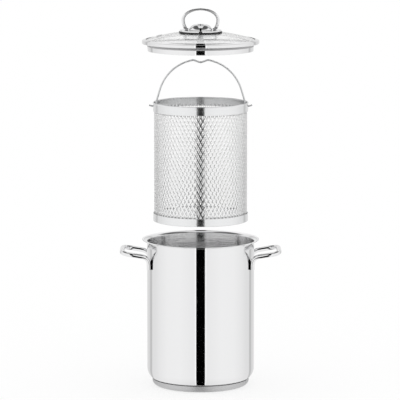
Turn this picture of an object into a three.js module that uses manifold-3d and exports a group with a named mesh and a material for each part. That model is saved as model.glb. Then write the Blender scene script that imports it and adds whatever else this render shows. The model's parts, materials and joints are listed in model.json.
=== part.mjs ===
// Asparagus pot: a tall steel pot on a layered base, a mesh basket with a wire bail,
// and a glass lid with a loop knob. Millimetres, +Z up.
// The origin is the middle of the base, on the surface that the pot stands on.
// The set is drawn taken apart: basket and lid hang above the pot, on its axis.
import * as THREE from "three";
import { mergeVertices } from "three/addons/utils/BufferGeometryUtils.js";
import Module from "manifold-3d";

const wasm = await Module();
wasm.setup();

// Clearances
const SEAT_GAP = 0.3; // welded, pressed or bonded faces
const LID_GAP = 0.4; // lid rim in the flared mouth
const SKIRT_GAP = 0.8; // lid skirt to the pot's wall
const PIVOT_GAP = 0.4; // bail wire in its holes
const BASKET_GAP = 8.7; // basket to the pot's wall
const FOOT_GAP = 1.4; // basket's foot to the pot's rounded corner, on which it stands
const BASKET_BELOW_RIM = 31.6; // room for the folded bail under the closed lid
const BOW_GAP = 0.6; // bow's collars to the boss
const GLASS_HOLE_GAP = 2; // screw in the glass
const HEAD_GAP = 1; // screw head in its recess

// Roundness
const POT_SIDES = 40;
const KNOB_SIDES = 24;
const SMALL_SIDES = 16;
const ROD_SIDES = 8;
const WIRE_SIDES = 6;
const CORNER_STEPS = 4;
const EDGE_STEPS = 3;
const GLASS_STEPS = 4;
const HANDLE_STEPS = 36;
const BAIL_STEPS = 54;
const BAIL_ARC_STEPS = 9;
const BOW_STEPS = 28;
const WELD_DISTANCE = 1e-3;

// Pot
const POT_INNER_RADIUS = 80;
const POT_WALL = 0.8;
const POT_HEIGHT = 222.5;
const POT_CORNER_RADIUS = 20;
const RIM_REACH = 7; // how far the flared rim stands out from the wall
const RIM_RISE = 3.6;
const BASE_INSET = 7.8; // base edge in from the pot's wall
const BASE_SHEET = 0.8;
const BASE_EDGE_RADIUS = 8;
const BASE_CORE_THICKNESS = 5.5;

// Side handles
const HANDLE_ROD = 7.2;
const HANDLE_FOOT_SPREAD = 63; // between the two feet of one handle
const HANDLE_SPREAD = 74; // between the ends of its grip
const HANDLE_OUT = 40.9; // from the wall to the outer edge of the grip
const HANDLE_RISE = 7; // the grip is this much above the legs' roots
const HANDLE_BELOW_RIM = 24; // legs' roots
const HANDLE_FOOT = 18; // length of the foot that is welded down the wall
const HANDLE_CORNER = 18;
const HANDLE_BEND = 12;
const HANDLE_SINK = 3.7; // the foot is pressed this much flatter against the wall

// Basket
const MESH_COLUMNS = 24; // diamonds round the basket
const MESH_ROWS = 9; // rows of diamonds, each half a diamond above the last
const MESH_THICKNESS = 1.2;
const STRAND_WIDTH = 2.6;
const MESH_LAP = 5; // mesh edge behind each band
const BAND_SHEET = 0.8;
const TOP_BAND = 15.3;
const BOTTOM_BAND = 11.8;
const BEAD_RADIUS = 1.1; // rolled edge of the top band
const FLOOR_HEIGHT = 9.4; // underside of the floor above the basket's foot
const FLOOR_SHEET = 0.8;
const FLOOR_HOLE = 13; // diameter
const FLOOR_HOLE_SIDES = 6;
const FLOOR_HOLE_PITCH = 25;
const FLOOR_MARGIN = 5; // unpierced edge

// Bail
const BAIL_WIRE = 2.8;
const BAIL_INSET = 7; // arc's side in from the band
const BAIL_PIVOT_DROP = 6.5; // pivot holes below the basket's top
const BAIL_ARC_RISE = 7; // arc centre above the pivots
const BAIL_LEG_LEAN = THREE.MathUtils.degToRad(17); // straight legs, outwards
const BAIL_TIP_OUT = 6; // wire end outside the band
const BAIL_TIP_RISE = 1.5;
const BAIL_SHOULDER = 11; // half the width of the finger notch
const BAIL_NOTCH = 4;
const BAIL_BEND_SHARE = 0.45; // of the shorter run beside a bend

// Lid
const GLASS_THICKNESS = 4;
const GLASS_RISE = 13.6;
const LID_SHOULDER = 2.6; // slope from the rim's outer edge in to its lip
const LID_SHEET = 0.8;
const LID_LIP = 2.4; // rim turned over the glass edge
const LID_LEDGE = 3; // rim turned under the glass edge
const LID_EDGE = 5; // straight outer edge of the rim
const SKIRT_DEPTH = 7;
const VENT_INSET = 22.1; // from the glass edge
const VENT_BEARING = THREE.MathUtils.degToRad(172);
const VENT_HOLE_RADIUS = 3;
const VENT_FLANGE = 1.6;
const VENT_SHEET = 0.6;
const VENT_BORE_RADIUS = 1.6;

// Knob and what holds it
const KNOB_PLATE_SHEET = 1.2;
const KNOB_PLATE_BEVEL = 0.5;
const BOSS_RADIUS = 17.5;
const BOSS_TOP_RADIUS = 7.8;
const BOSS_HEIGHT = 7.8;
const BOSS_FOOT = 2; // straight part below the dome
const RECESS_DEPTH = 2.6;
const RECESS_FLARE = 1.2;
const BOW_ROD = 4.8;
const BOW_SWELL = 5; // widest place out from the feet
const BOW_WIDEST = 14.8; // its height above the plate
const BOW_HEIGHT = 32.5; // top of the rod above the plate
const BOW_COLLAR_RADIUS = 2.9;
const BOW_COLLAR = 2.2;
const SCREW_RADIUS = 2.5;
const SCREW_HEAD_RADIUS = 5;
const SCREW_HEAD = 1.8;
const SCREW_HEAD_EDGE = 0.9;
const SCREW_HEAD_BEVEL = 2;
const UPPER_SEAL_RADIUS = 32.4;
const UPPER_SEAL_HOLE = 16; // radius
const UPPER_SEAL = 0.6; // thickness at its hole
const UPPER_SEAL_WALL = 0.8; // round the plate's edge
const UPPER_SEAL_BRIM = 0.3; // up the plate's edge
const LOWER_SEAL_RADIUS = 14;
const LOWER_SEAL = 4.4;
const CUP_RADIUS = 25;
const CUP_SHEET = 0.8;
const CUP_BEVEL = 0.5;
const NUT_RADIUS = 5;
const NUT_HEIGHT = 4;

// How far the set is drawn apart
const BASKET_ABOVE_POT = 28.5;
const LID_ABOVE_BAIL = 12.4;

// Places worked out from the sizes above
const potOuter = POT_INNER_RADIUS + POT_WALL;
const rimRadius = potOuter + RIM_REACH;
const baseRadius = potOuter - BASE_INSET;
const coreBottom = BASE_SHEET + SEAT_GAP;
const potUnderside = coreBottom + BASE_CORE_THICKNESS + SEAT_GAP;
const cornerTop = potUnderside + POT_CORNER_RADIUS;
const cornerCentre = potOuter - POT_CORNER_RADIUS;
const bandOuter = POT_INNER_RADIUS - BASKET_GAP;
const bandInner = bandOuter - BAND_SHEET;
const basketFoot = cornerHeight(bandOuter + FOOT_GAP, POT_CORNER_RADIUS - POT_WALL);
const basketHeight = POT_HEIGHT - basketFoot - BASKET_BELOW_RIM;
const meshRadius = bandInner - SEAT_GAP - MESH_THICKNESS / 2;
const basketSides = 2 * MESH_COLUMNS;
const pivotHeight = basketHeight - BAIL_PIVOT_DROP;
const bailArcRadius = bandInner - BAIL_INSET;
const shoulderHeight = BAIL_ARC_RISE + Math.sqrt(bailArcRadius ** 2 - BAIL_SHOULDER ** 2);
const skirtOuter = POT_INNER_RADIUS - SKIRT_GAP;
const skirtFoot = -RIM_RISE - SKIRT_DEPTH;
const screwHole = SCREW_RADIUS + SEAT_GAP;
const glassHole = SCREW_RADIUS + GLASS_HOLE_GAP;
const glassRadius = rimRadius - LID_SHOULDER - LID_SHEET - SEAT_GAP;
const glassFoot = LID_GAP + LID_SHEET;
const domeRadius = (glassRadius ** 2 + GLASS_RISE ** 2) / (2 * GLASS_RISE);

const polishedSteel = new THREE.MeshStandardMaterial({ color: 0xd8dadc, roughness: 0.08, metalness: 1 });
const satinSteel = new THREE.MeshStandardMaterial({ color: 0xc4c6c8, roughness: 0.35, metalness: 1 });
const aluminium = new THREE.MeshStandardMaterial({ color: 0xb4b6b8, roughness: 0.5, metalness: 1 });
const clearGlass = new THREE.MeshStandardMaterial({
  color: 0xf2f6f5,
  roughness: 0.03,
  metalness: 0,
  transparent: true,
  opacity: 0.25,
});
const silicone = new THREE.MeshStandardMaterial({ color: 0xd9dcdc, roughness: 0.6, metalness: 0 });
const blackSilicone = new THREE.MeshStandardMaterial({ color: 0x1c1c1d, roughness: 0.5, metalness: 0 });

const at = (radius, height) => new THREE.Vector2(radius, height);

// Points of an elliptical arc in a profile, from one angle to another, both in degrees.
function arc(centreRadius, centreHeight, acrossRadius, upRadius, from, to, steps) {
  const points = [];
  for (let i = 0; i <= steps; i++) {
    const angle = THREE.MathUtils.degToRad(from + ((to - from) * i) / steps);
    points.push(at(centreRadius + acrossRadius * Math.cos(angle), centreHeight + upRadius * Math.sin(angle)));
  }
  return points;
}

// A profile of radius and height that starts and ends on the Z axis, turned about it.
function turnedOnAxis(profile, sides) {
  const loop = [...profile, profile[0].clone()];
  return new THREE.LatheGeometry(loop, sides).rotateX(Math.PI / 2);
}

// A closed profile clear of the Z axis, turned about it.
function turnedRing(profile, sides) {
  const loop = [...profile];
  if (THREE.ShapeUtils.isClockWise(loop)) loop.reverse();
  return turnedOnAxis(loop, sides);
}

// Flat ring, from a foot height.
function ring(innerRadius, outerRadius, foot, height, sides) {
  const top = foot + height;
  const profile = [at(innerRadius, foot), at(outerRadius, foot), at(outerRadius, top), at(innerRadius, top)];
  return turnedRing(profile, sides);
}

// Corners of a regular polygon.
function polygon(x, y, radius, sides) {
  const corners = [];
  for (let i = 0; i < sides; i++) {
    const angle = (2 * Math.PI * i) / sides;
    corners.push(new THREE.Vector2(x + radius * Math.cos(angle), y + radius * Math.sin(angle)));
  }
  return corners;
}

// A round bar along a path, with closed ends.
function bar(path, diameter, sides, steps) {
  const section = new THREE.Shape(polygon(0, 0, diameter / 2, sides));
  return new THREE.ExtrudeGeometry(section, { steps, bevelEnabled: false, extrudePath: path });
}

// A path of straight runs whose corners are rounded, each by its own distance.
function bentPath(corners, roundings) {
  const path = new THREE.CurvePath();
  let start = corners[0];
  for (let i = 1; i < corners.length - 1; i++) {
    const toward = (other) => {
      const away = other.clone().sub(corners[i]).normalize();
      return corners[i].clone().addScaledVector(away, roundings[i - 1]);
    };
    const enter = toward(corners[i - 1]);
    const leave = toward(corners[i + 1]);
    path.add(new THREE.LineCurve3(start, enter));
    path.add(new THREE.QuadraticBezierCurve3(enter, corners[i], leave));
    start = leave;
  }
  path.add(new THREE.LineCurve3(start, corners[corners.length - 1]));
  return path;
}

// A closed geometry as a solid that can be cut and joined, and back.
function solidOf(geometry) {
  const bare = geometry.clone();
  bare.deleteAttribute("normal");
  bare.deleteAttribute("uv");
  const merged = mergeVertices(bare, WELD_DISTANCE);
  const vertProperties = new Float32Array(merged.attributes.position.array);
  const triVerts = new Uint32Array(merged.index.array);
  return new wasm.Manifold(new wasm.Mesh({ numProp: 3, vertProperties, triVerts }));
}

function geometryOf(solid) {
  const mesh = solid.getMesh();
  const geometry = new THREE.BufferGeometry();
  geometry.setAttribute("position", new THREE.BufferAttribute(mesh.vertProperties, 3));
  geometry.setIndex(new THREE.BufferAttribute(mesh.triVerts, 1));
  geometry.computeVertexNormals();
  return geometry;
}

function piece(name, geometry, material) {
  const mesh = new THREE.Mesh(geometry, material);
  mesh.name = name;
  return mesh;
}

// Drawn body: flat floor, rounded corner, straight wall and a rim flared for pouring.
function potBody() {
  const innerCorner = POT_CORNER_RADIUS - POT_WALL;
  const rimFoot = POT_HEIGHT - RIM_RISE;
  const profile = [
    at(0, potUnderside),
    ...arc(cornerCentre, cornerTop, POT_CORNER_RADIUS, POT_CORNER_RADIUS, -90, 0, CORNER_STEPS),
    ...arc(rimRadius, rimFoot, RIM_REACH, RIM_RISE - POT_WALL, 180, 90, EDGE_STEPS),
    ...arc(rimRadius, rimFoot, RIM_REACH + POT_WALL, RIM_RISE, 90, 180, EDGE_STEPS),
    ...arc(cornerCentre, cornerTop, innerCorner, innerCorner, 0, -90, CORNER_STEPS),
    at(0, potUnderside + POT_WALL),
  ];
  return turnedOnAxis(profile, POT_SIDES);
}

// Height of the pot's bottom corner at a radius, on its outer or its inner curve.
function cornerHeight(radius, curve) {
  const fromCentre = Math.max(0, radius - cornerCentre);
  return cornerTop - Math.sqrt(curve ** 2 - fromCentre ** 2);
}

// Aluminium disc between the pot's floor and the cap, rounded below as the cap is.
function baseCore() {
  const radius = baseRadius - BASE_SHEET - SEAT_GAP;
  const edgeCentre = baseRadius - BASE_EDGE_RADIUS;
  const edge = radius - edgeCentre;
  const top = coreBottom + BASE_CORE_THICKNESS;
  const turn = Math.asin(Math.min(0, top - BASE_EDGE_RADIUS) / edge);
  const bend = arc(
    edgeCentre, BASE_EDGE_RADIUS, edge, edge, -90, THREE.MathUtils.radToDeg(turn), CORNER_STEPS
  );
  if (turn === 0) bend.push(at(radius, top));
  return turnedOnAxis([at(0, coreBottom), ...bend, at(0, top)], POT_SIDES);
}

// Pressed cap: flat below, rounded at the edge, its wall ending against the pot's corner.
function baseCap() {
  const innerRadius = baseRadius - BASE_SHEET;
  const lip = cornerHeight(innerRadius, POT_CORNER_RADIUS) - SEAT_GAP;
  const edgeCentre = baseRadius - BASE_EDGE_RADIUS;
  const innerEdge = BASE_EDGE_RADIUS - BASE_SHEET;
  const profile = [
    at(0, 0),
    ...arc(edgeCentre, BASE_EDGE_RADIUS, BASE_EDGE_RADIUS, BASE_EDGE_RADIUS, -90, 0, CORNER_STEPS),
    at(baseRadius, lip),
    at(innerRadius, lip),
    ...arc(edgeCentre, BASE_EDGE_RADIUS, innerEdge, innerEdge, 0, -90, CORNER_STEPS),
    at(0, BASE_SHEET),
  ];
  return turnedOnAxis(profile, POT_SIDES);
}

// Bent bar: two half-round feet down the wall, two rising legs that spread a little, and a rounded grip.
// Drawn on the +X side.
function sideHandle() {
  const half = HANDLE_SPREAD / 2;
  const footHalf = HANDLE_FOOT_SPREAD / 2;
  const rodRadius = HANDLE_ROD / 2;
  const wallFace = potOuter + SEAT_GAP;
  const footX = Math.sqrt((wallFace + rodRadius - HANDLE_SINK) ** 2 - footHalf ** 2);
  const gripX = potOuter + HANDLE_OUT - rodRadius;
  const rootZ = POT_HEIGHT - HANDLE_BELOW_RIM;
  const gripZ = rootZ + HANDLE_RISE;
  const footZ = rootZ - HANDLE_FOOT;
  const corners = [
    new THREE.Vector3(footX, -footHalf, footZ),
    new THREE.Vector3(footX, -footHalf, rootZ),
    new THREE.Vector3(gripX, -half, gripZ),
    new THREE.Vector3(gripX, half, gripZ),
    new THREE.Vector3(footX, footHalf, rootZ),
    new THREE.Vector3(footX, footHalf, footZ),
  ];
  const path = bentPath(corners, [HANDLE_BEND, HANDLE_CORNER, HANDLE_CORNER, HANDLE_BEND]);
  const loop = solidOf(bar(path, HANDLE_ROD, ROD_SIDES, HANDLE_STEPS));
  const reach = POT_HEIGHT + HANDLE_OUT;
  const wall = new THREE.CylinderGeometry(wallFace, wallFace, reach, 2 * POT_SIDES);
  wall.rotateX(Math.PI / 2).translate(0, 0, reach / 2);
  return geometryOf(loop.subtract(solidOf(wall)));
}

// Expanded metal: slit sheet pulled open into upright diamonds. Each strand is thickest
// along its middle and thin beside the openings. Flat edges close the top and the bottom.
function basketMesh() {
  const bottom = BOTTOM_BAND - MESH_LAP;
  const top = basketHeight - TOP_BAND + MESH_LAP;
  const columnWidth = (2 * Math.PI * meshRadius) / MESH_COLUMNS;
  const rowRise = (top - bottom) / (MESH_ROWS + 1);
  const slant = Math.hypot(columnWidth / 2, rowRise);
  const inColumn = (STRAND_WIDTH * slant) / (2 * rowRise * columnWidth);
  const inRow = (STRAND_WIDTH * slant) / (columnWidth * rowRise);
  const half = MESH_THICKNESS / 2;
  const corners = [];
  const place = (column, row, out) => {
    const angle = (2 * Math.PI * column) / MESH_COLUMNS;
    const radius = meshRadius + out;
    return [radius * Math.sin(angle), -radius * Math.cos(angle), bottom + row * rowRise];
  };
  const triangle = (a, b, c) => corners.push(...a, ...b, ...c);
  const quad = (a, b, c, d) => {
    triangle(a, b, c);
    triangle(a, c, d);
  };
  for (let row = 0; row < MESH_ROWS; row++) {
    for (let i = 0; i < MESH_COLUMNS; i++) {
      const column = i + (row % 2) / 2;
      const knots = [
        [column, row],
        [column + 0.5, row + 1],
        [column, row + 2],
        [column - 0.5, row + 1],
      ];
      const opening = [
        place(column, row + inRow, 0),
        place(column + 0.5 - inColumn, row + 1, 0),
        place(column, row + 2 - inRow, 0),
        place(column - 0.5 + inColumn, row + 1, 0),
      ];
      knots.forEach((knot, k) => {
        const next = (k + 1) % knots.length;
        quad(place(...knot, half), place(...knots[next], half), opening[next], opening[k]);
        quad(opening[k], opening[next], place(...knots[next], -half), place(...knot, -half));
      });
    }
  }
  const lastShift = ((MESH_ROWS - 1) % 2) / 2;
  const edges = [
    { row: 0, tipRow: 1, shift: 0, upper: false },
    { row: MESH_ROWS + 1, tipRow: MESH_ROWS, shift: lastShift, upper: true },
  ];
  for (const { row, tipRow, shift, upper } of edges) {
    for (let i = 0; i < basketSides; i++) {
      const column = shift + i / 2;
      const tipColumn = shift + Math.floor(i / 2) + 0.5;
      const [from, to] = upper ? [column + 0.5, column] : [column, column + 0.5];
      triangle(place(from, row, half), place(to, row, half), place(tipColumn, tipRow, half));
      triangle(place(to, row, -half), place(from, row, -half), place(tipColumn, tipRow, -half));
      quad(place(to, row, half), place(from, row, half), place(from, row, -half), place(to, row, -half));
    }
  }
  const geometry = new THREE.BufferGeometry();
  geometry.setAttribute("position", new THREE.Float32BufferAttribute(corners, 3));
  return mergeVertices(geometry, WELD_DISTANCE);
}

// Top band: plain strip with a rolled top edge and a pivot hole on each side.
function basketTopBand() {
  const foot = basketHeight - TOP_BAND;
  const beadHeight = basketHeight - BEAD_RADIUS;
  const beadCentre = (bandInner + bandOuter) / 2;
  const meets = THREE.MathUtils.radToDeg(Math.acos(BAND_SHEET / 2 / BEAD_RADIUS));
  const profile = [
    at(bandInner, foot),
    at(bandOuter, foot),
    ...arc(beadCentre, beadHeight, BEAD_RADIUS, BEAD_RADIUS, -meets, 180 + meets, 2 * EDGE_STEPS),
  ];
  const holeRadius = BAIL_WIRE / 2 + PIVOT_GAP;
  const drill = new THREE.CylinderGeometry(holeRadius, holeRadius, 2 * rimRadius, SMALL_SIDES);
  drill.rotateZ(Math.PI / 2).translate(0, 0, pivotHeight);
  return geometryOf(solidOf(turnedRing(profile, basketSides)).subtract(solidOf(drill)));
}

// Pierced floor, its edge against the mesh inside the bottom band.
function basketFloor() {
  const radius = meshRadius - MESH_THICKNESS / 2 - SEAT_GAP;
  const plate = new THREE.Shape(polygon(0, 0, radius, basketSides));
  const rowPitch = (FLOOR_HOLE_PITCH * Math.sqrt(3)) / 2;
  const rows = Math.ceil(radius / rowPitch);
  const furthest = radius - FLOOR_MARGIN - FLOOR_HOLE / 2;
  for (let row = -rows; row <= rows; row++) {
    for (let i = -rows; i <= rows; i++) {
      const x = (i + (Math.abs(row) % 2) / 2) * FLOOR_HOLE_PITCH;
      const y = row * rowPitch;
      if (Math.hypot(x, y) > furthest) continue;
      plate.holes.push(new THREE.Path(polygon(x, y, FLOOR_HOLE / 2, FLOOR_HOLE_SIDES)));
    }
  }
  const options = { depth: FLOOR_SHEET, bevelEnabled: false };
  return new THREE.ExtrudeGeometry(plate, options).translate(0, 0, FLOOR_HEIGHT);
}

// One wire: tip, through the hole, straight leg, arc, shoulder, notch, and the same back.
// Drawn about its pivots, standing up in the XZ plane.
function basketBail() {
  const wireRadius = BAIL_WIRE / 2;
  const legTop = BAIL_ARC_RISE + bailArcRadius * Math.sin(BAIL_LEG_LEAN);
  const legFoot = bailArcRadius * Math.cos(BAIL_LEG_LEAN) + legTop * Math.tan(BAIL_LEG_LEAN);
  const firstHalf = [
    new THREE.Vector3(bandOuter + BAIL_TIP_OUT, 0, BAIL_TIP_RISE),
    new THREE.Vector3(bandOuter + wireRadius, 0, 0),
    new THREE.Vector3(legFoot, 0, 0),
  ];
  const shoulderAngle = Math.acos(BAIL_SHOULDER / bailArcRadius);
  for (let i = 0; i <= BAIL_ARC_STEPS; i++) {
    const angle = BAIL_LEG_LEAN + ((shoulderAngle - BAIL_LEG_LEAN) * i) / BAIL_ARC_STEPS;
    const x = bailArcRadius * Math.cos(angle);
    const z = BAIL_ARC_RISE + bailArcRadius * Math.sin(angle);
    firstHalf.push(new THREE.Vector3(x, 0, z));
  }
  const notch = new THREE.Vector3(0, 0, shoulderHeight - BAIL_NOTCH);
  const mirrored = firstHalf.map((point) => new THREE.Vector3(-point.x, 0, point.z)).reverse();
  const corners = [...firstHalf, notch, ...mirrored];
  const roundings = corners.slice(1, -1).map((corner, i) => {
    const before = corner.distanceTo(corners[i]);
    const after = corner.distanceTo(corners[i + 2]);
    return Math.min(before, after, 2 * BAIL_WIRE) * BAIL_BEND_SHARE;
  });
  return bar(bentPath(corners, roundings), BAIL_WIRE, WIRE_SIDES, BAIL_STEPS);
}

// Height of the glass underside above the pot's rim at a radius. The dome is part of a sphere.
function glassUnder(radius) {
  return glassFoot + GLASS_RISE - domeRadius + Math.sqrt(domeRadius ** 2 - radius ** 2);
}

// Height of what lies on the glass, at a radius.
function onGlass(radius) {
  return glassUnder(radius) + GLASS_THICKNESS + SEAT_GAP;
}

// Puts a geometry that is drawn about the origin where the vent goes through the glass.
function onVent(geometry) {
  const fromAxis = glassRadius - VENT_INSET;
  const tilt = Math.asin(fromAxis / domeRadius);
  const x = fromAxis * Math.cos(VENT_BEARING);
  const y = fromAxis * Math.sin(VENT_BEARING);
  const z = glassUnder(fromAxis) + GLASS_THICKNESS / 2;
  return geometry.rotateY(tilt).rotateZ(VENT_BEARING).translate(x, y, z);
}

// Domed glass of even thickness, with a hole for the screw and one for the vent.
function lidGlass() {
  const under = [];
  for (let i = 0; i <= GLASS_STEPS; i++) {
    const radius = glassHole + ((glassRadius - glassHole) * i) / GLASS_STEPS;
    under.push(at(radius, glassUnder(radius)));
  }
  const over = under.map((point) => at(point.x, point.y + GLASS_THICKNESS)).reverse();
  const dome = turnedRing([...under, ...over], POT_SIDES);
  const drillLength = 4 * GLASS_THICKNESS;
  const drill = new THREE.CylinderGeometry(VENT_HOLE_RADIUS, VENT_HOLE_RADIUS, drillLength, SMALL_SIDES);
  const cutter = onVent(drill.rotateX(Math.PI / 2));
  return geometryOf(solidOf(dome).subtract(solidOf(cutter)));
}

// Steel rim: lip over the glass, outer edge, curved seat for the flared mouth, skirt, ledge.
function lidRim() {
  const edgeTop = glassUnder(glassRadius) + GLASS_THICKNESS + SEAT_GAP;
  const pocket = glassRadius + SEAT_GAP;
  const lipInner = glassRadius - LID_LIP;
  const lipUnder = glassUnder(lipInner) + GLASS_THICKNESS + SEAT_GAP;
  const ledgeTop = glassUnder(glassRadius) - SEAT_GAP;
  const seatAcross = RIM_REACH + POT_WALL + LID_GAP;
  const profile = [
    at(skirtOuter - LID_SHEET, skirtFoot),
    at(skirtOuter, skirtFoot),
    at(skirtOuter, -RIM_RISE),
    ...arc(rimRadius, -RIM_RISE, seatAcross, RIM_RISE + LID_GAP, 180, 90, EDGE_STEPS),
    at(rimRadius, LID_GAP + LID_EDGE),
    at(pocket + LID_SHEET, edgeTop + LID_SHEET),
    at(lipInner, lipUnder + LID_SHEET),
    at(lipInner, lipUnder),
    at(pocket, edgeTop),
    at(pocket, ledgeTop),
    at(glassRadius - LID_LEDGE, ledgeTop),
    at(skirtOuter - LID_SHEET, -RIM_RISE),
  ];
  return turnedRing(profile, POT_SIDES);
}

// Steel eyelet that lets steam out: a tube through the glass with a flange on each face.
function steamVent() {
  const tube = VENT_HOLE_RADIUS - SEAT_GAP;
  const flange = VENT_HOLE_RADIUS + VENT_FLANGE;
  const face = GLASS_THICKNESS / 2 + SEAT_GAP;
  const profile = [
    at(VENT_BORE_RADIUS, -face - VENT_SHEET),
    at(flange, -face - VENT_SHEET),
    at(flange, -face),
    at(tube, -face),
    at(tube, face),
    at(flange, face),
    at(flange, face + VENT_SHEET),
    at(VENT_BORE_RADIUS, face + VENT_SHEET),
  ];
  return onVent(turnedRing(profile, SMALL_SIDES));
}

// Stack of pieces on the screw, from the glass upwards and then downwards.
const upperSealTop = onGlass(UPPER_SEAL_HOLE) + UPPER_SEAL;
const plateRadius = UPPER_SEAL_RADIUS - UPPER_SEAL_WALL - SEAT_GAP;
const plateFoot = upperSealTop + SEAT_GAP;
const plateTop = plateFoot + KNOB_PLATE_SHEET;
const knobFoot = plateTop + SEAT_GAP;
const bossTop = knobFoot + BOSS_HEIGHT;
const headSeat = bossTop - RECESS_DEPTH;
const lowerSealFoot = glassUnder(LOWER_SEAL_RADIUS) - SEAT_GAP - LOWER_SEAL;
const cupTop = lowerSealFoot - SEAT_GAP;
const cupFoot = cupTop - CUP_SHEET;
const nutFoot = cupFoot - SEAT_GAP - NUT_HEIGHT;

// Soft seal on the glass, sloped below as the glass is, with a low wall round the plate's edge.
function upperSeal() {
  const wall = UPPER_SEAL_RADIUS - UPPER_SEAL_WALL;
  const brim = plateFoot + UPPER_SEAL_BRIM;
  const profile = [
    at(UPPER_SEAL_HOLE, onGlass(UPPER_SEAL_HOLE)),
    at(UPPER_SEAL_RADIUS, onGlass(UPPER_SEAL_RADIUS)),
    at(UPPER_SEAL_RADIUS, brim),
    at(wall, brim),
    at(wall, upperSealTop),
    at(UPPER_SEAL_HOLE, upperSealTop),
  ];
  return turnedRing(profile, KNOB_SIDES);
}

// Flat disc with a bevelled edge, on the seal.
function knobPlate() {
  const profile = [
    at(screwHole, plateFoot),
    at(plateRadius, plateFoot),
    at(plateRadius, plateTop - KNOB_PLATE_BEVEL),
    at(plateRadius - KNOB_PLATE_BEVEL, plateTop),
    at(screwHole, plateTop),
  ];
  return turnedRing(profile, KNOB_SIDES);
}

// Domed boss with a recess that hides the screw head.
function knobBoss() {
  const across = BOSS_RADIUS - BOSS_TOP_RADIUS;
  const recess = SCREW_HEAD_RADIUS + HEAD_GAP;
  const profile = [
    at(screwHole, knobFoot),
    at(BOSS_RADIUS, knobFoot),
    ...arc(BOSS_TOP_RADIUS, knobFoot + BOSS_FOOT, across, BOSS_HEIGHT - BOSS_FOOT, 0, 90, CORNER_STEPS),
    at(recess + RECESS_FLARE, bossTop),
    at(recess, headSeat),
    at(screwHole, headSeat),
  ];
  return turnedRing(profile, KNOB_SIDES);
}

// Loop that is held: a bar that swells outwards and comes back in to two collared feet.
function knobBow() {
  const fromAxis = BOSS_RADIUS + BOW_GAP + BOW_COLLAR_RADIUS;
  const halfWidth = fromAxis + BOW_SWELL;
  const widest = plateTop + BOW_WIDEST;
  const above = BOW_HEIGHT - BOW_ROD / 2 - BOW_WIDEST;
  const footAngle = Math.acos(fromAxis / halfWidth);
  const below = (widest - knobFoot) / Math.sin(footAngle);
  const turn = THREE.MathUtils.radToDeg(footAngle);
  const outline = [
    ...arc(0, widest, halfWidth, below, -turn, 0, EDGE_STEPS),
    ...arc(0, widest, halfWidth, above, 0, 180, 2 * CORNER_STEPS).slice(1, -1),
    ...arc(0, widest, halfWidth, below, 180, 180 + turn, EDGE_STEPS),
  ];
  const path = new THREE.CatmullRomCurve3(outline.map((point) => new THREE.Vector3(point.x, 0, point.y)));
  let bow = solidOf(bar(path, BOW_ROD, ROD_SIDES, BOW_STEPS));
  for (const way of [-1, 1]) {
    const collar = new THREE.CylinderGeometry(BOW_COLLAR_RADIUS, BOW_COLLAR_RADIUS, BOW_COLLAR, SMALL_SIDES);
    collar.rotateX(Math.PI / 2).translate(way * fromAxis, 0, knobFoot + BOW_COLLAR / 2);
    bow = bow.add(solidOf(collar));
  }
  const underFeet = new THREE.BoxGeometry(4 * halfWidth, 2 * BOW_ROD, 2 * BOW_ROD);
  underFeet.translate(0, 0, knobFoot - BOW_ROD);
  return geometryOf(bow.subtract(solidOf(underFeet)));
}

// Screw with a low bevelled head in the boss and its end in the nut.
function knobScrew() {
  const end = nutFoot + SEAT_GAP;
  const headFoot = headSeat + SEAT_GAP;
  const profile = [
    at(0, end),
    at(SCREW_RADIUS, end),
    at(SCREW_RADIUS, headFoot),
    at(SCREW_HEAD_RADIUS, headFoot),
    at(SCREW_HEAD_RADIUS, headFoot + SCREW_HEAD_EDGE),
    at(SCREW_HEAD_RADIUS - SCREW_HEAD_BEVEL, headFoot + SCREW_HEAD),
    at(0, headFoot + SCREW_HEAD),
  ];
  return turnedOnAxis(profile, SMALL_SIDES);
}

// Shallow cup under the glass that spreads the screw's pull, its brim against the glass.
function backingCup() {
  const brim = glassUnder(CUP_RADIUS) - SEAT_GAP;
  const profile = [
    at(screwHole, cupFoot),
    at(CUP_RADIUS - CUP_BEVEL, cupFoot),
    at(CUP_RADIUS, cupFoot + CUP_BEVEL),
    at(CUP_RADIUS, brim),
    at(CUP_RADIUS - CUP_SHEET, brim),
    at(CUP_RADIUS - CUP_SHEET, cupTop),
    at(screwHole, cupTop),
  ];
  return turnedRing(profile, KNOB_SIDES);
}

// Hexagon nut.
function knobNut() {
  const hexagon = new THREE.Shape(polygon(0, 0, NUT_RADIUS, 6));
  hexagon.holes.push(new THREE.Path(polygon(0, 0, screwHole, SMALL_SIDES)));
  const nut = new THREE.ExtrudeGeometry(hexagon, { depth: NUT_HEIGHT, bevelEnabled: false });
  return nut.translate(0, 0, nutFoot);
}

const pot = new THREE.Group();
pot.add(
  piece("pot_body", potBody(), polishedSteel),
  piece("base_core", baseCore(), aluminium),
  piece("base_cap", baseCap(), polishedSteel),
  piece("handle_right", sideHandle(), polishedSteel),
  piece("handle_left", sideHandle().rotateZ(Math.PI), polishedSteel),
);

const bottomBand = ring(bandInner, bandOuter, 0, BOTTOM_BAND, basketSides);
const bail = piece("basket_bail", basketBail(), satinSteel);
bail.position.z = pivotHeight;
const basket = new THREE.Group();
basket.position.z = POT_HEIGHT + BASKET_ABOVE_POT;
basket.add(
  piece("basket_mesh", basketMesh(), satinSteel),
  piece("basket_top_band", basketTopBand(), satinSteel),
  piece("basket_bottom_band", bottomBand, satinSteel),
  piece("basket_floor", basketFloor(), satinSteel),
  bail,
);

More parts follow.
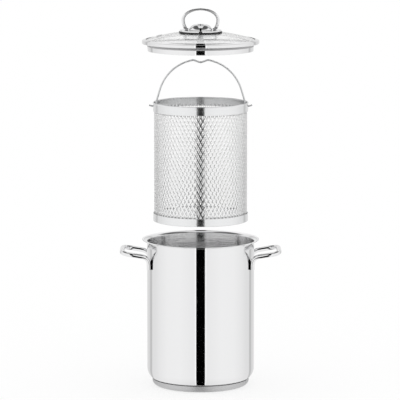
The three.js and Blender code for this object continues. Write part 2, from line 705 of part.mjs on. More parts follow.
const lowerSeal = ring(screwHole, LOWER_SEAL_RADIUS, lowerSealFoot, LOWER_SEAL, KNOB_SIDES);
const bailTop = basket.position.z + pivotHeight + shoulderHeight + BAIL_WIRE / 2;
const lid = new THREE.Group();
lid.position.z = bailTop + LID_ABOVE_BAIL - skirtFoot;
lid.add(
  piece("lid_glass", lidGlass(), clearGlass),
  piece("lid_rim", lidRim(), polishedSteel),
  piece("steam_vent", steamVent(), polishedSteel),
  piece("knob_plate", knobPlate(), polishedSteel),
  piece("knob_boss", knobBoss(), polishedSteel),
  piece("knob_bow", knobBow(), polishedSteel),
  piece("knob_screw", knobScrew(), polishedSteel),
  piece("upper_seal", upperSeal(), blackSilicone),
  piece("lower_seal", lowerSeal, silicone),
  piece("backing_cup", backingCup(), polishedSteel),
  piece("knob_nut", knobNut(), polishedSteel),
);

const asparagusPot = new THREE.Group();
asparagusPot.add(pot, basket, lid);

export default asparagusPot;
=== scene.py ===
import json
import math

import bpy
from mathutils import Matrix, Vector


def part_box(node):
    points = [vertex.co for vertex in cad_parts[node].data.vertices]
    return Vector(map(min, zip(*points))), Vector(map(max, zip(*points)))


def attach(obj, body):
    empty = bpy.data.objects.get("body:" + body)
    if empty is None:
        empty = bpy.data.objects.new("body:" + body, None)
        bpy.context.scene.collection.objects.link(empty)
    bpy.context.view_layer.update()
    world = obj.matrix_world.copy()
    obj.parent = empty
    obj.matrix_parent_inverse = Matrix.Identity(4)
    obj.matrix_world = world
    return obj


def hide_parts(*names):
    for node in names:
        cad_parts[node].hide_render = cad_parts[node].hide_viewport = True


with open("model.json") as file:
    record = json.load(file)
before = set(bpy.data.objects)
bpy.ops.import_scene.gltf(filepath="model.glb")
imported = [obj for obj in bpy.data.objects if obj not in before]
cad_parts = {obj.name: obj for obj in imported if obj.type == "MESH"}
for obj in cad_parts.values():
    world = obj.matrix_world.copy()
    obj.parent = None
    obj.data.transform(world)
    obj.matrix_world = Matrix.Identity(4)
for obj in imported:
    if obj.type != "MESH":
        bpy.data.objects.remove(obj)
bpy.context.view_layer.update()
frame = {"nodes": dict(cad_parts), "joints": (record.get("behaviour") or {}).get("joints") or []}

# Camera: a long lens four and a half metres in front of the set and above the lid,
# so that every rim opens as a narrow ellipse. The picture is square. Lengths are in metres.
eye = Vector((-0.0009, -4.5, 0.92))
aim = Vector((-0.0009, 0.0, 0.2815))
bpy.ops.object.select_all(action="DESELECT")
bpy.ops.object.camera_add(location=eye, rotation=(aim - eye).to_track_quat("-Z", "Y").to_euler())
camera = bpy.context.active_object
long_lens = 271.7
camera.data.lens = long_lens
bpy.context.scene.camera = camera
bpy.context.scene.view_settings.view_transform = "Standard"


# Studio: white walls all round, a dark gap between two light boxes where the camera stands, and a
# dark ceiling with one light panel. Polished steel mirrors it. The eye sees plain white instead,
# also through glass.
def add_node(tree, kind, inputs=None, **settings):
    """Adds a shader node with its settings. An input is joined to a socket or set to a value."""
    node = tree.nodes.new(kind)
    for name, value in settings.items():
        setattr(node, name, value)
    for name, value in (inputs or {}).items():
        if isinstance(value, bpy.types.NodeSocket):
            tree.links.new(value, node.inputs[name])
        else:
            node.inputs[name].default_value = value
    return node


def add_math(tree, operation, first, second=0.0):
    """Adds a math node and gives its result."""
    return add_node(tree, "ShaderNodeMath", {0: first, 1: second}, operation=operation).outputs[0]


def add_grey_ramp(tree, place, stops):
    """Adds a ramp of greys over the places 0 to 1 and gives its result."""
    ramp = add_node(tree, "ShaderNodeValToRGB", {"Fac": place})
    greys = ramp.color_ramp.elements
    greys.remove(greys[1])
    for i, (stop, grey) in enumerate(stops):
        if i == 0:
            greys[0].position = stop
        else:
            greys.new(stop)
        greys[i].color = (grey, grey, grey, 1)
    return ramp.outputs["Color"]


brightest = 1.3
half_turn = 180
wall_stops = [  # degrees round from the camera, light
    (0, 0.0),
    (9.2, 0.0),
    (9.6, 1.25),
    (11.4, 1.2),
    (12.6, 0.98),
    (45, 1.04),
    (75, 1.03),
    (96, 0.97),
    (114, 0.89),
    (126, 0.87),
    (130, 0.62),
    (135, 0.58),
    (139, 0.77),
    (150, 0.8),
    (165, 0.84),
    (180, 0.88),
]
ceiling_stops = [  # degrees above level, share
    (-90, 0.9),
    (-30, 1.0),
    (36, 1.0),
    (46, 0.12),
    (90, 0.08),
]
panel_light = 0.85
panel_width = [(0.2, 1.0), (0.27, 0.0)]  # how far a direction goes sideways, share
panel_length = [  # how far a direction goes to the camera, share
    (-0.62, 0.0),
    (-0.55, 1.0),
    (0.28, 1.0),
    (0.36, 0.0),
]
overhead = [(0.6, 0.0), (0.7, 1.0)]  # how far a direction goes up, share

world = bpy.data.worlds.new("studio")
world.use_nodes = True
bpy.context.scene.world = world
studio = world.node_tree
direction = add_node(studio, "ShaderNodeTexCoord").outputs["Generated"]
toward = add_node(studio, "ShaderNodeSeparateXYZ", {"Vector": direction}).outputs
sideways = add_math(studio, "ABSOLUTE", toward["X"])
forward = add_math(studio, "MULTIPLY", toward["Y"], -1.0)
half_bearing = add_math(studio, "ARCTAN2", sideways, add_math(studio, "ADD", forward, 1.0))
bearing = add_math(studio, "MULTIPLY", half_bearing, 2 / math.pi)
climb = add_math(studio, "DIVIDE", add_math(studio, "ARCSINE", toward["Z"]), math.pi)
climb = add_math(studio, "ADD", climb, 0.5)
wall_greys = [(turn / half_turn, light / brightest) for turn, light in wall_stops]
wall = add_grey_ramp(studio, bearing, wall_greys)
ceiling_greys = [(0.5 + angle / half_turn, share) for angle, share in ceiling_stops]
rise = add_grey_ramp(studio, climb, ceiling_greys)
ahead = add_math(studio, "ADD", add_math(studio, "MULTIPLY", forward, 0.5), 0.5)
panel_greys = [(0.5 + place / 2, share) for place, share in panel_length]
panel = add_grey_ramp(studio, ahead, panel_greys)
panel = add_math(studio, "MULTIPLY", panel, add_grey_ramp(studio, sideways, panel_width))
panel = add_math(studio, "MULTIPLY", panel, add_grey_ramp(studio, toward["Z"], overhead))
panel = add_math(studio, "MULTIPLY", panel, panel_light)
mirrored = add_math(studio, "MULTIPLY", add_math(studio, "MULTIPLY", wall, rise), brightest)
mirrored = add_math(studio, "ADD", mirrored, panel)
path = add_node(studio, "ShaderNodeLightPath").outputs
straight = add_math(studio, "SUBTRACT", 1.0, path["Is Transmission Ray"])
in_steel = add_math(studio, "MULTIPLY", path["Is Glossy Ray"], straight)
change = add_math(studio, "MULTIPLY", in_steel, add_math(studio, "SUBTRACT", mirrored, 1.0))
strength = add_math(studio, "ADD", 1.0, change)
background = studio.nodes["Background"]
background.inputs["Color"].default_value = (1, 1, 1, 1)
studio.links.new(strength, background.inputs["Strength"])

# Floor: a white, smooth table top that runs out of sight. It keeps a faint shadow under the pot.
# Steel sees it white from steeply above, and sees the studio's walls in it at a low angle and close
# to the pot.
floor_reach = 8.0
floor_sides = 96
floor_drop = 0.0003
shade_share = 0.3
floor_white = 0.86
bpy.ops.object.select_all(action="DESELECT")
bpy.ops.mesh.primitive_circle_add(
    vertices=floor_sides, radius=floor_reach, fill_type="NGON", location=(0, 0, -floor_drop)
)
floor = bpy.context.active_object
floor.name = "floor"
floor_finish = bpy.data.materials.new("white_table")
floor_finish.use_nodes = True
table = floor_finish.node_tree
table.nodes.remove(table.nodes["Principled BSDF"])
floor_tint = (floor_white, floor_white, floor_white, 1)
shaded = add_node(table, "ShaderNodeBsdfDiffuse", {"Color": floor_tint})
glow_strength = (1.0 - shade_share * floor_white) / (1.0 - shade_share)
glow = add_node(table, "ShaderNodeEmission", {"Strength": glow_strength})
top = add_node(
    table, "ShaderNodeMixShader", {"Fac": shade_share, 1: glow.outputs[0], 2: shaded.outputs[0]}
)
clear = add_node(table, "ShaderNodeBsdfTransparent")
plain_blend = 0.5
facing = add_node(table, "ShaderNodeLayerWeight", {"Blend": plain_blend}).outputs["Facing"]
low_stops = [(0.64, 0.0), (0.74, 1.0)]  # 1 is level with the table, share
low_angle = add_grey_ramp(table, facing, low_stops)
spot = add_node(table, "ShaderNodeTexCoord").outputs["Object"]
close_width = 0.15
close_reach = 0.7
stretch = (close_reach / close_width, 1, 1)
stretched = add_node(table, "ShaderNodeVectorMath", {0: spot, 1: stretch}, operation="MULTIPLY")
from_pot = add_node(table, "ShaderNodeVectorMath", {0: stretched.outputs[0]}, operation="LENGTH")
close = add_math(table, "LESS_THAN", from_pot.outputs["Value"], close_reach)
mirroring = add_math(table, "MAXIMUM", low_angle, close)
seen = add_node(table, "ShaderNodeLightPath").outputs["Is Glossy Ray"]
see_through = add_math(table, "MULTIPLY", seen, mirroring)
surface = add_node(
    table, "ShaderNodeMixShader", {"Fac": see_through, 1: top.outputs[0], 2: clear.outputs[0]}
)
table.links.new(surface.outputs[0], table.nodes["Material Output"].inputs["Surface"])
floor.data.materials.append(floor_finish)


# Heat spreader: an aluminium disc pressed hot between the pot's floor and the cap below it.
# Only its edge could be seen, in the seam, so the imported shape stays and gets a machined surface.
def start_marks(name):
    """Starts a group for the marks of a metal finish, and gives it with its two ends."""
    group = bpy.data.node_groups.new(name, "ShaderNodeTree")
    for label in ("Smoothest", "Roughest", "Fineness"):
        group.interface.new_socket(label, in_out="INPUT", socket_type="NodeSocketFloat")
    for label in ("Roughness", "Height"):
        group.interface.new_socket(label, in_out="OUTPUT", socket_type="NodeSocketFloat")
    given = group.nodes.new("NodeGroupInput").outputs
    result = group.nodes.new("NodeGroupOutput").inputs
    return group, given, result


faint_mark = 0.3
strong_mark = 0.7


def end_marks(group, given, result, marks):
    """Spreads the marks between the smoothest and the roughest place."""
    spread = add_node(
        group,
        "ShaderNodeMapRange",
        {
            "Value": marks,
            "From Min": faint_mark,
            "From Max": strong_mark,
            "To Min": given["Smoothest"],
            "To Max": given["Roughest"],
        },
    )
    group.links.new(spread.outputs["Result"], result["Roughness"])
    group.links.new(marks, result["Height"])


turning, given, result = start_marks("turning_lines")
place = add_node(turning, "ShaderNodeTexCoord").outputs["Object"]
along = add_node(turning, "ShaderNodeSeparateXYZ", {"Vector": place}).outputs
round_square = add_math(
    turning,
    "ADD",
    add_math(turning, "MULTIPLY", along["X"], along["X"]),
    add_math(turning, "MULTIPLY", along["Y"], along["Y"]),
)
from_axis = add_math(turning, "SQRT", round_square)
around = add_math(turning, "ARCTAN2", along["Y"], along["X"])
line_breaks = 2.0
lines = add_node(
    turning,
    "ShaderNodeCombineXYZ",
    {
        "X": add_math(turning, "MULTIPLY", from_axis, given["Fineness"]),
        "Y": add_math(turning, "MULTIPLY", around, line_breaks),
        "Z": add_math(turning, "MULTIPLY", along["Z"], given["Fineness"]),
    },
)
noise = add_node(
    turning, "ShaderNodeTexNoise", {"Vector": lines.outputs[0], "Scale": 1.0, "Detail": 3.0}
)
end_marks(turning, given, result, noise.outputs["Fac"])


def metal(name, tint, marks, smoothest, roughest, fineness, depth):
    """Bare metal with the marks that its turning, polishing or drawing left."""
    material = bpy.data.materials.new(name)
    material.use_nodes = True
    tree = material.node_tree
    shader = tree.nodes["Principled BSDF"]
    shader.inputs["Base Color"].default_value = (*tint, 1)
    shader.inputs["Metallic"].default_value = 1
    left = add_node(tree, "ShaderNodeGroup", node_tree=marks)
    left.inputs["Smoothest"].default_value = smoothest
    left.inputs["Roughest"].default_value = roughest
    left.inputs["Fineness"].default_value = fineness
    bump = add_node(tree, "ShaderNodeBump", {"Height": left.outputs["Height"], "Distance": depth})
    tree.links.new(left.outputs["Roughness"], shader.inputs["Roughness"])
    tree.links.new(bump.outputs["Normal"], shader.inputs["Normal"])
    return material


aluminium = metal(
    "machined_aluminium",
    (0.68, 0.69, 0.7),
    turning,
    smoothest=0.35,
    roughest=0.5,
    fineness=1500,
    depth=0.00001,
)
frame["nodes"]["base_core"].material_slots[0].material = aluminium


# Base cap: a shallow steel pan pressed round the spreader, flat below and rounded at the edge.
# Its wall ends against the pot's corner in a fine dark seam. It is turned to a satin finish.
def bend(centre, middle, across, up, start, end, steps):
    """Points of a bend in an outline, about (centre, middle), between two angles in degrees."""
    points = []
    for i in range(steps + 1):
        angle = math.radians(start + (end - start) * i / steps)
        points.append((centre + across * math.cos(angle), middle + up * math.sin(angle)))
    return points


speck = 0.001


def chain(name, points):
    """Draws a line of points, each pulled out of the one before, from a speck that is merged."""
    bpy.ops.object.select_all(action="DESELECT")
    bpy.ops.mesh.primitive_plane_add(size=speck, location=(0, 0, 0))
    piece = bpy.context.active_object
    piece.name = piece.data.name = name
    bpy.ops.object.mode_set(mode="EDIT")
    bpy.ops.mesh.merge(type="CENTER")
    bpy.ops.transform.translate(value=points[0])
    for last, point in zip(points, points[1:]):
        step = Vector(point) - Vector(last)
        bpy.ops.mesh.extrude_vertices_move(TRANSFORM_OT_translate={"value": step})
    bpy.ops.mesh.select_all(action="SELECT")
    return piece


merge_distance = 0.000001
edge_hold = 0.0004
sharp_angle = math.radians(32)


def close_and_smooth(piece):
    """Merges doubled points, turns faces outwards and shades all but sharp edges as round."""
    bpy.ops.object.mode_set(mode="EDIT")
    bpy.ops.mesh.select_all(action="SELECT")
    bpy.ops.mesh.remove_doubles(threshold=merge_distance)
    bpy.ops.mesh.normals_make_consistent(inside=False)
    bpy.ops.object.mode_set(mode="OBJECT")
    bpy.ops.object.shade_smooth_by_angle(angle=sharp_angle)


def spun(name, outline, sides):
    """Spins an outline of (radius, height) about the axis. Long flats get a point near each end,
    so that they stay flat beside a bend."""
    held = [outline[0]]
    for (radius, height), (next_radius, next_height) in zip(outline, outline[1:]):
        out = next_radius - radius
        up = next_height - height
        run = math.hypot(out, up)
        if run > 4 * edge_hold:
            for share in (edge_hold / run, 1 - edge_hold / run):
                held.append((radius + out * share, height + up * share))
        held.append((next_radius, next_height))
    piece = chain(name, [(radius, 0, height) for radius, height in held])
    bpy.ops.mesh.spin(steps=sides, angle=2 * math.pi, center=(0, 0, 0), axis=(0, 0, 1))
    close_and_smooth(piece)
    return piece


def fit(piece, body, node, slot, *materials):
    """Gives a finished piece its material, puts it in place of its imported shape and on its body."""
    for material in materials:
        piece.data.materials.append(material)
    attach(piece, body)
    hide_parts(node)


pot_sides = 180
cap_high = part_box("base_cap")[1]
cap_radius = cap_high.x
cap_top = cap_high.z
cap_sheet = 0.0008
cap_edge = 0.008
edge_middle = cap_radius - cap_edge
lip_round = cap_sheet / 2
cap_outline = [
    (0, 0),
    *bend(edge_middle, cap_edge, cap_edge, cap_edge, -90, 0, 12),
    *bend(cap_radius - lip_round, cap_top - lip_round, lip_round, lip_round, 0, 180, 6),
    *bend(edge_middle, cap_edge, cap_edge - cap_sheet, cap_edge - cap_sheet, 0, -90, 8),
    (0, cap_sheet),
]
base_cap = spun("base_cap_turned", cap_outline, pot_sides)
turned_steel = metal(
    "turned_steel",
    (0.56, 0.56, 0.565),
    turning,
    smoothest=0.38,
    roughest=0.5,
    fineness=2200,
    depth=0.000004,
)
fit(base_cap, "pot", "base_cap", "base_steel", turned_steel)

# Pot: a tall body drawn from steel sheet, with a rounded bottom corner and a rim flared for
# pouring. It is mirror polished outside, and satin inside from fine lathe grooves that turn the
# light upwards.
grooving, given, result = start_marks("lathe_grooves")
place = add_node(grooving, "ShaderNodeTexCoord").outputs["Object"]
height = add_node(grooving, "ShaderNodeSeparateXYZ", {"Vector": place}).outputs["Z"]
grooves = add_math(grooving, "FRACT", add_math(grooving, "MULTIPLY", height, given["Fineness"]))
scratches = add_node(grooving, "ShaderNodeGroup", node_tree=turning)
grooving.links.new(given["Fineness"], scratches.inputs["Fineness"])
grooved = add_math(grooving, "SUBTRACT", scratches.outputs["Height"], grooves)
end_marks(grooving, given, result, grooved)
polishing, given, result = start_marks("polishing_haze")
place = add_node(polishing, "ShaderNodeTexCoord").outputs["Object"]
noise = add_node(
    polishing, "ShaderNodeTexNoise", {"Vector": place, "Scale": given["Fineness"], "Detail": 5.0}
)
end_marks(polishing, given, result, noise.outputs["Fac"])

pot_low, pot_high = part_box("pot_body")
pot_wall = 0.0008
pot_corner = 0.02
rim_reach = 0.007
rim_rise = 0.0036
rim_radius = pot_high.x
pot_outer = rim_radius - rim_reach
rim_foot = pot_high.z - rim_rise
corner_middle = pot_outer - pot_corner
corner_top = pot_low.z + pot_corner
rim_round = pot_wall / 2
pot_outline = [
    (0, pot_low.z),
    *bend(corner_middle, corner_top, pot_corner, pot_corner, -90, 0, 24),
    *bend(rim_radius, rim_foot, rim_reach, rim_rise - pot_wall, 180, 90, 12),
    *bend(rim_radius, pot_high.z - rim_round, rim_round, rim_round, -90, 90, 6)[1:-1],
    *bend(rim_radius, rim_foot, rim_reach + pot_wall, rim_rise, 90, 180, 12),
    *bend(corner_middle, corner_top, pot_corner - pot_wall, pot_corner - pot_wall, 0, -90, 24),
    (0, pot_low.z + pot_wall),
]
pot = spun("pot_drawn", pot_outline, pot_sides)
steel_tint = (0.82, 0.82, 0.825)
mirror_steel = metal(
    "mirror_steel",
    steel_tint,
    polishing,
    smoothest=0.03,
    roughest=0.06,
    fineness=60,
    depth=0.0000004,
)
satin_inside = metal(
    "satin_steel_inside",
    (0.86, 0.86, 0.865),
    grooving,
    smoothest=0.12,
    roughest=0.18,
    fineness=1800,
    depth=0.00007,
)
fit(pot, "pot", "pot_body", "polished_steel", mirror_steel, satin_inside)
floor_lean = 0.5  # least share of a face's direction that goes up
for face in pot.data.polygons:
    outward = face.normal.x * face.center.x + face.normal.y * face.center.y
    on_floor = face.normal.z > floor_lean and face.center.z < corner_top
    below_rim = face.center.z < rim_foot
    face.material_index = 1 if on_floor or (outward < 0 and below_rim) else 0


# Side handles: one bent steel rod each, its two feet flattened at the flanks and welded down the
# wall, the legs spread a little and the grip rounded and higher than the feet. They are polished
# like the pot.
def rounded(corners, roundings, steps=10):
    """Points along straight runs whose inner corners are each rounded over a distance."""
    points = [Vector(corners[0])]
    for before, corner, after, distance in zip(corners, corners[1:], corners[2:], roundings):
        corner = Vector(corner)
        enter = corner + (Vector(before) - corner).normalized() * distance
        leave = corner + (Vector(after) - corner).normalized() * distance
        for i in range(steps + 1):
            t = i / steps
            points.append(enter * (1 - t) ** 2 + corner * 2 * t * (1 - t) + leave * t**2)
    points.append(Vector(corners[-1]))
    return points


rod_facets = 6


def rod(name, points, thickness, swell=None):
    """A round rod or wire along points, with closed ends. Swell gives its share of the thickness
    along its length."""
    piece = chain(name, points)
    bpy.ops.object.mode_set(mode="OBJECT")
    bpy.ops.object.convert(target="CURVE")
    curve = piece.data
    curve.bevel_depth = thickness / 2
    curve.bevel_resolution = rod_facets
    curve.use_fill_caps = True
    if swell:
        for i, point in enumerate(curve.splines[0].points):
            point.radius = swell(i / (len(points) - 1))
    bpy.ops.object.convert(target="MESH")
    piece.data.name = name
    close_and_smooth(piece)
    return piece


def cut(piece, other, operation="DIFFERENCE"):
    """Takes one solid out of another, or joins the two."""
    knife = piece.modifiers.new("cut", "BOOLEAN")
    knife.object = other
    knife.operation = operation
    knife.solver = "EXACT"
    bpy.ops.object.select_all(action="DESELECT")
    bpy.context.view_layer.objects.active = piece
    piece.select_set(True)
    bpy.ops.object.modifier_apply(modifier=knife.name)
    bpy.data.objects.remove(other)
    bpy.ops.object.shade_smooth_by_angle(angle=sharp_angle)


handle_low, handle_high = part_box("handle_right")
handle_rod = 0.0072
foot_half = 0.0315
grip_half = 0.0355
handle_rise = 0.007
grip_x = handle_high.x - handle_rod / 2
grip_z = handle_high.z - handle_rod / 2
root_z = grip_z - handle_rise
foot_sink = 0.0012
foot_x = math.sqrt((pot_outer + handle_rod / 2 - foot_sink) ** 2 - foot_half**2)
handle_corners = [
    (foot_x, -foot_half, handle_low.z),
    (foot_x, -foot_half, root_z),
    (grip_x, -grip_half, grip_z),
    (grip_x, grip_half, grip_z),
    (foot_x, foot_half, root_z),
    (foot_x, foot_half, handle_low.z),
]
foot_bend = 0.012
grip_bend = 0.018
handle_path = rounded(handle_corners, (foot_bend, grip_bend, grip_bend, foot_bend))
handle_right = rod("handle_right_bent", handle_path, handle_rod)
flank_drop = 0.002
flank_trim = 0.0002
foot_height = root_z - flank_drop - handle_low.z
foot_depth = handle_rod / 2
flank_share = 1 - foot_depth / 2 / math.hypot(foot_x, foot_half)
flank_x = foot_x * flank_share
flank_y = foot_half * flank_share
for side in (-1, 1):
    bpy.ops.object.select_all(action="DESELECT")
    bpy.ops.mesh.primitive_cube_add(
        size=1,
        location=(flank_x, side * flank_y, handle_low.z + foot_height / 2),
        rotation=(0, 0, side * math.atan2(foot_half, foot_x)),
        scale=(foot_depth, handle_rod - flank_trim, foot_height),
    )
    bpy.ops.object.transform_apply(location=True, rotation=True, scale=True)
    cut(handle_right, bpy.context.active_object, "UNION")
bpy.ops.object.select_all(action="DESELECT")
weld_depth = 0.0003
bpy.ops.mesh.primitive_cylinder_add(
    vertices=pot_sides, radius=pot_outer - weld_depth, depth=1, location=(0, 0, 0)
)
cut(handle_right, bpy.context.active_object)
bpy.ops.object.duplicate()
handle_left = bpy.context.active_object
handle_left.name = handle_left.data.name = "handle_left_bent"
handle_left.rotation_euler.z = math.pi
bpy.ops.object.transform_apply(rotation=True)
for handle, node in ((handle_right, "handle_right"), (handle_left, "handle_left")):
    fit(handle, "pot", node, "polished_steel", mirror_steel)

# Basket's bottom band: a strip of satin steel rolled into a ring, on which the basket stands.
# It is welded round the foot of the mesh.
low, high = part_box("basket_bottom_band")
band_sides = 144
band_outer = high.x
band_sheet = 0.0008
band_inner = band_outer - band_sheet
band_round = band_sheet / 2
band_middle = band_outer - band_round
bottom_band_outline = [
    *bend(band_middle, low.z + band_round, band_round, band_round, 180, 360, 6),
    *bend(band_middle, high.z - band_round, band_round, band_round, 0, 180, 6),
]
bottom_band = spun("basket_foot_band", [*bottom_band_outline, bottom_band_outline[0]], band_sides)
satin_steel = metal(
    "satin_steel",
    (0.8, 0.805, 0.81),
    turning,
    smoothest=0.12,
    roughest=0.18,
    fineness=1600,
    depth=0.000003,
)
fit(bottom_band, "basket", "basket_bottom_band", "basket_steel", satin_steel)

# Basket's floor: a disc of satin steel pierced with rows of round drain holes. It is welded inside
# the bottom band, a little above the edge on which the basket stands.
low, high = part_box("basket_floor")
floor_radius = high.x
hole_pitch = 0.0125
hole_radius = 0.0035
plain_edge = 0.005
disc_outline = [(0, low.z), (floor_radius, low.z), (floor_radius, high.z), (0, high.z)]
basket_floor = spun("basket_floor_pierced", disc_outline, band_sides)
row_pitch = hole_pitch * math.sqrt(3) / 2
holes = []
reach = floor_radius - plain_edge - hole_radius
rows = math.ceil(floor_radius / row_pitch)
for row in range(-rows, rows + 1):
    for column in range(-rows, rows + 1):
        x = (column + (row % 2) / 2) * hole_pitch
        y = row * row_pitch
        if math.hypot(x, y) < reach:
            holes.append((x, y, (low.z + high.z) / 2))
bpy.ops.object.select_all(action="DESELECT")
drain_sides = 20
bpy.ops.mesh.primitive_cylinder_add(
    vertices=drain_sides, radius=hole_radius, depth=4 * (high.z - low.z), location=holes[0]
)
bpy.ops.object.transform_apply(location=True)
punch = bpy.context.active_object
bpy.ops.object.mode_set(mode="EDIT")
for last, hole in zip(holes, holes[1:]):
    step = Vector(hole) - Vector(last)
    bpy.ops.mesh.duplicate_move(TRANSFORM_OT_translate={"value": step})
bpy.ops.object.mode_set(mode="OBJECT")
cut(basket_floor, punch)
fit(basket_floor, "basket", "basket_floor", "basket_steel", satin_steel)

# Basket's wall: expanded steel, sheet that is slit in rows and pulled open into upright diamonds.
# Pulling twists each strand a little. It is polished outside and dull inside. Beside the two bands
# shade is painted into its colour, so that the strands there are dark.
low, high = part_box("basket_mesh")
mesh_columns = 72
mesh_rows = 13
mesh_sheet = 0.0008
strand = 0.0016
twist = 0.00004
strand_merge = 20 * merge_distance
mesh_gap = 0.0003
mesh_radius = band_inner - mesh_gap - mesh_sheet
diamond_width = 2 * math.pi * mesh_radius / mesh_columns
diamond_height = (high.z - low.z) / (mesh_rows + 0.5)
bpy.ops.object.select_all(action="DESELECT")
bpy.ops.mesh.primitive_circle_add(vertices=4, radius=1, fill_type="NGON", location=(0, 0, 0))
wall_mesh = bpy.context.active_object
wall_mesh.name = wall_mesh.data.name = "basket_wall_mesh"
bpy.ops.object.mode_set(mode="EDIT")
bpy.ops.transform.resize(value=(diamond_width / 2, diamond_height / 2, 1))
bpy.ops.mesh.inset(thickness=strand / 2)
bpy.ops.mesh.delete(type="FACE")
bpy.ops.object.mode_set(mode="OBJECT")
corners = sorted(wall_mesh.data.vertices, key=lambda vertex: vertex.co.y)
corners[1].co.z = -twist
corners[-2].co.z = twist
bpy.ops.object.mode_set(mode="EDIT")
bpy.ops.mesh.select_all(action="SELECT")
half_step = (diamond_width / 2, diamond_height / 2, 0)
bpy.ops.mesh.duplicate_move(TRANSFORM_OT_translate={"value": half_step})
bpy.ops.object.mode_set(mode="OBJECT")
for count, step in ((mesh_columns, (diamond_width, 0, 0)), (mesh_rows, (0, diamond_height, 0))):
    array = wall_mesh.modifiers.new("row", "ARRAY")
    array.count = count
    array.use_relative_offset = False
    array.use_constant_offset = True
    array.constant_offset_displace = step
    bpy.ops.object.modifier_apply(modifier=array.name)
for vertex in wall_mesh.data.vertices:
    angle = vertex.co.x / mesh_radius
    radius = mesh_radius + vertex.co.z
    height = low.z + diamond_height / 2 + vertex.co.y
    vertex.co = (radius * math.sin(angle), -radius * math.cos(angle), height)
bpy.ops.object.mode_set(mode="EDIT")
bpy.ops.mesh.select_all(action="SELECT")
bpy.ops.mesh.remove_doubles(threshold=strand_merge)
bpy.ops.mesh.normals_make_consistent(inside=False)
bpy.ops.object.mode_set(mode="OBJECT")
thicken = wall_mesh.modifiers.new("sheet", "SOLIDIFY")
thicken.thickness = mesh_sheet
thicken.offset = 0
bpy.ops.object.modifier_apply(modifier=thicken.name)
mesh_steel = metal(
    "mesh_steel",
    (0.86, 0.865, 0.87),
    polishing,
    smoothest=0.09,
    roughest=0.13,
    fineness=300,
    depth=0.0000005,
)
mesh_inside = metal(
    "mesh_steel_inside",
    (0.96, 0.96, 0.96),
    polishing,
    smoothest=0.5,
    roughest=0.6,
    fineness=300,
    depth=0.000004,
)
tree = mesh_steel.node_tree
place = add_node(tree, "ShaderNodeTexCoord").outputs["Object"]
height = add_node(tree, "ShaderNodeSeparateXYZ", {"Vector": place}).outputs["Z"]
band_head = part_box("basket_bottom_band")[1].z
band_trim = 0.0016
band_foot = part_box("basket_top_band")[0].z + band_trim
from_foot = add_math(tree, "ABSOLUTE", add_math(tree, "SUBTRACT", height, band_head))
from_head = add_math(tree, "ABSOLUTE", add_math(tree, "SUBTRACT", height, band_foot))
from_band_edge = add_math(tree, "MINIMUM", from_foot, from_head)
# Painted shade: close beside the band edges the strands' colour turns dark grey.
painted_shade_reach = 0.01
painted_shade_stops = [(0.14, 0.22), (0.24, 0.86)]  # share of the reach, tint
painted_shade_tint = add_grey_ramp(tree, add_math(tree, "DIVIDE", from_band_edge, painted_shade_reach), painted_shade_stops)
tree.links.new(painted_shade_tint, tree.nodes["Principled BSDF"].inputs["Base Color"])
fit(wall_mesh, "basket", "basket_mesh", "basket_steel", mesh_steel, mesh_inside)
front_share = 0.8  # least share of a face's direction that goes outwards
for face in wall_mesh.data.polygons:
    outward = face.normal.x * face.center.x + face.normal.y * face.center.y
    face.material_index = 0 if outward > front_share * mesh_radius else 1

# Basket's top band: a strip of satin steel with a rolled top edge, welded round the head of the
# mesh. A hole on each side takes the bail. Inside, the band is painted a darker grey as shade.
low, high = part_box("basket_top_band")
bead = high.x - band_middle
bead_height = high.z - bead
meets = math.degrees(math.acos(band_round / bead))
top_band_outline = [
    *bend(band_middle, band_foot + band_round, band_round, band_round, 180, 360, 6),
    *bend(band_middle, bead_height, bead, bead, -meets, 180 + meets, 24),
]
top_band = spun("basket_head_band", [*top_band_outline, top_band_outline[0]], band_sides)
bail_wire = 0.0028
pivot_gap = 0.0004
pivot_sides = 24
pivot_z = [joint for joint in frame["joints"] if joint["name"] == "bail_swing"][0]["pos_m"][2]
bpy.ops.object.select_all(action="DESELECT")
bpy.ops.mesh.primitive_cylinder_add(
    vertices=pivot_sides,
    radius=bail_wire / 2 + pivot_gap,
    depth=4 * band_outer,
    location=(0, 0, pivot_z),
    rotation=(0, math.pi / 2, 0),
)
cut(top_band, bpy.context.active_object)
# Painted shade: the faces inside the band get a darker grey steel.
band_inside_painted_shade = metal(
    "satin_steel_in_band",
    (0.62, 0.625, 0.63),
    turning,
    smoothest=0.14,
    roughest=0.2,
    fineness=1600,
    depth=0.000003,
)
fit(top_band, "basket", "basket_top_band", "basket_steel", satin_steel, band_inside_painted_shade)
inside_share = 0.7  # least share of a face's direction that goes inwards
for face in top_band.data.polygons:
    outward = face.normal.x * face.center.x + face.normal.y * face.center.y
    face.material_index = 1 if outward < -inside_share * band_outer else 0

# Bail: one length of bright drawn steel wire, bent into an arch on two straight legs, with a finger
# notch. Its ends pass out through the band's holes and are turned up a little.
tip_out = 0.006
tip_rise = 0.0015
arc_inset = 0.007
arc_rise = 0.007
leg_lean = 17  # degrees
shoulder = 0.011
notch = 0.004
arc_radius = band_inner - arc_inset
arc_middle = pivot_z + arc_rise
leg_top = arc_rise + arc_radius * math.sin(math.radians(leg_lean))
leg_slope = math.tan(math.radians(leg_lean))
leg_foot = arc_radius * math.cos(math.radians(leg_lean)) + leg_top * leg_slope
shoulder_angle = math.degrees(math.acos(shoulder / arc_radius))
one_side = [
    (band_outer + tip_out, pivot_z + tip_rise),
    (band_outer + bail_wire / 2, pivot_z),
    (leg_foot, pivot_z),
    *bend(0, arc_middle, arc_radius, arc_radius, leg_lean, shoulder_angle, 20),
]
shoulder_z = one_side[-1][1]
bail_corners = [
    *[(x, 0, z) for x, z in one_side],
    (0, 0, shoulder_z - notch),
    *[(-x, 0, z) for x, z in reversed(one_side)],
]
widest_bend = 2.5 * bail_wire
bend_share = 0.48
bail_bends = []
for before, corner, after in zip(bail_corners, bail_corners[1:], bail_corners[2:]):
    room = min((Vector(corner) - Vector(end)).length for end in (before, after))
    bail_bends.append(bend_share * min(room, widest_bend))
